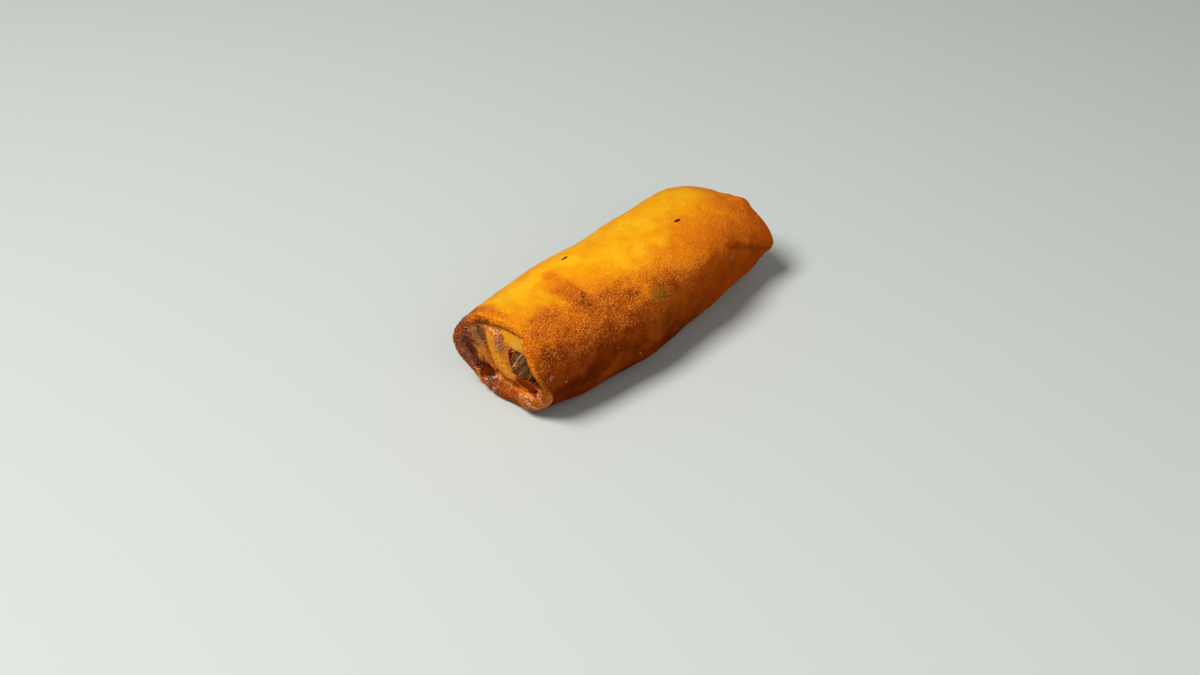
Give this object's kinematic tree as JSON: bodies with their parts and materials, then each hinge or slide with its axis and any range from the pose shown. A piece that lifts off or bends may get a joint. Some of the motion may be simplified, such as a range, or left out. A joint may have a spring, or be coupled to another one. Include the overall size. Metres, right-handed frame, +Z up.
{
  "type": "spring roll",
  "caption": "Fried spring roll: browned pastry rolled round a shredded vegetable filling, with tucked ends and a gap at a corner where the filling shows.",
  "frame": {"origin": "centre of the bounding box in plan, on the flat underside that the roll rests on", "axes": "+X along the roll from the end with the gap to the closed end, +Z up from the table, -Y the side where the gap is"},
  "size_m": [0.1156, 0.0476, 0.0381],
  "materials": {
    "crust": "satin",
    "greens": "satin"
  },
  "bodies": {
    "root": {"wrapper": "crust", "filling": "greens"}
  },
  "joints": []
}
